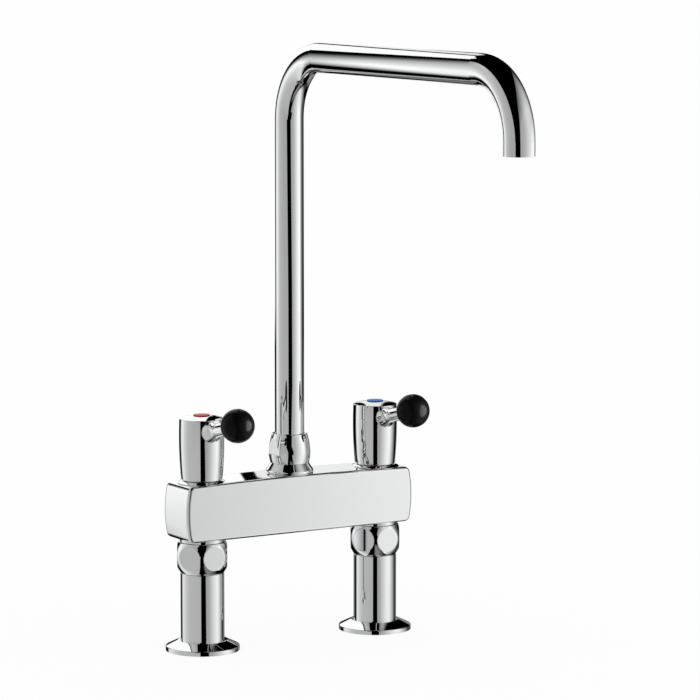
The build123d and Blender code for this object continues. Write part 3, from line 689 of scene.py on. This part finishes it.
def put(name, shape, material):
    """Makes an object of a finished shape and its material."""
    mesh = bpy.data.meshes.new(name)
    shape.to_mesh(mesh)
    shape.free()
    mesh.materials.append(material)
    made = bpy.data.objects.new(name, mesh)
    bpy.context.scene.collection.objects.link(made)
    return made


class TAP_OT_stage(bpy.types.Operator):
    """Sets up the floor, the light tent, the lights and the camera"""

    bl_idname = "tap.stage"
    bl_label = "Stage"

    def execute(self, context):
        scene = context.scene
        studio = scene.tap_studio
        floor = self.floor(studio)
        tent = self.tent(studio)
        self.light(scene, studio)
        self.knob_light(scene, studio)
        self.camera(scene, studio)
        scene.view_settings.view_transform = "Standard"
        return {"FINISHED"}

    def floor(self, studio):
        """A wide round floor, which the plating doesn't mirror."""
        shape = bmesh.new()
        bmesh.ops.create_circle(shape, cap_ends=True, segments=FLOOR_SIDES, radius=studio.floor_radius)
        floor = put("floor", shape, floor_finish(studio))
        floor.visible_glossy = False
        return floor

    def tent(self, studio):
        """An oval tent in line with the camera, which only reflections show."""
        facing = Matrix.Rotation(-studio.camera_heading, 4, "Z")
        sized = Matrix.Diagonal((*studio.tent_size, 1.0))
        oval = facing @ Matrix.Translation(studio.tent_centre) @ sized
        shape = bmesh.new()
        bmesh.ops.create_uvsphere(
            shape, u_segments=TENT_SIDES, v_segments=TENT_RINGS, radius=1.0, matrix=oval
        )
        tent = put("light_tent", shape, tent_finish(studio))
        for face in tent.data.polygons:
            face.use_smooth = True
        tent.visible_camera = False
        tent.visible_diffuse = False
        tent.visible_shadow = False
        return tent

    def light(self, scene, studio):
        """Even light from all sides, white where the camera sees past the floor."""
        world = bpy.data.worlds.new("studio")
        scene.world = world
        shader = Shader(world)
        even = shader.node(
            "ShaderNodeBackground", {}, {"Color": opaque(WHITE), "Strength": studio.room_light}
        )
        white = shader.white_glow("ShaderNodeBackground")
        seen = shader.node("ShaderNodeLightPath", output="Is Camera Ray")
        mixed = shader.node("ShaderNodeMixShader", {}, {0: seen, 1: even, 2: white})
        shader.node("ShaderNodeOutputWorld", {}, {"Surface": mixed})

    def knob_light(self, scene, studio):
        """A soft light from the right that only the ball knobs catch."""
        lamp = bpy.data.lights.new("knob_light", "AREA")
        lamp.shape = "DISK"
        lamp.size = studio.knob_light_size
        lamp.energy = studio.knob_light
        shine = bpy.data.objects.new("knob_light", lamp)
        shine.location = studio.knob_light_place
        towards = studio.knob_light_aim - shine.location
        shine.rotation_euler = towards.to_track_quat("-Z", "Y").to_euler()
        scene.collection.objects.link(shine)
        knobs = bpy.data.collections.new("ball_knobs")
        for side in SIDES:
            knobs.objects.link(frame["nodes"][f"{side}_ball_knob"])
        shine.light_linking.receiver_collection = knobs

    def camera(self, scene, studio):
        """A long lens from the front left, a little above the body."""
        lens = bpy.data.cameras.new("camera")
        lens.lens = studio.camera_lens
        lens.sensor_width = SENSOR_WIDTH
        lens.clip_end = VIEW_RANGE
        camera = bpy.data.objects.new("camera", lens)
        camera.location = studio.camera_place
        camera.rotation_euler = (pi / 2 - studio.camera_pitch, 0.0, -studio.camera_heading)
        scene.collection.objects.link(camera)
        scene.camera = camera


class TAP_PT_sidebar(bpy.types.Panel):
    """The tap's steps and settings"""

    bl_idname = "TAP_PT_sidebar"
    bl_label = "Bridge mixer tap"
    bl_space_type = "VIEW_3D"
    bl_region_type = "UI"
    bl_category = "Tap"

    def draw(self, context):
        for step in STEPS:
            self.layout.operator(step.bl_idname)
        for group in (context.scene.tap_finish, context.scene.tap_studio):
            column = self.layout.column()
            for key in group.__annotations__:
                column.prop(group, key)


STEPS = (
    TAP_OT_chrome_pieces,
    TAP_OT_knobs_and_caps,
    TAP_OT_inner_pieces,
    TAP_OT_stage,
)
CLASSES = (TapFinish, TapStudio, *STEPS, TAP_PT_sidebar)


def register():
    """Makes the settings, the steps and the panel known to Blender."""
    for made in CLASSES:
        bpy.utils.register_class(made)
    bpy.types.Scene.tap_finish = PointerProperty(type=TapFinish)
    bpy.types.Scene.tap_studio = PointerProperty(type=TapStudio)


def unregister():
    """Takes them out again."""
    del bpy.types.Scene.tap_studio
    del bpy.types.Scene.tap_finish
    for made in reversed(CLASSES):
        bpy.utils.unregister_class(made)


def main():
    """Builds everything in order."""
    register()
    bpy.ops.tap.chrome_pieces()
    bpy.ops.tap.knobs_and_caps()
    bpy.ops.tap.inner_pieces()
    bpy.ops.tap.stage()


if __name__ == "__main__":
    main()
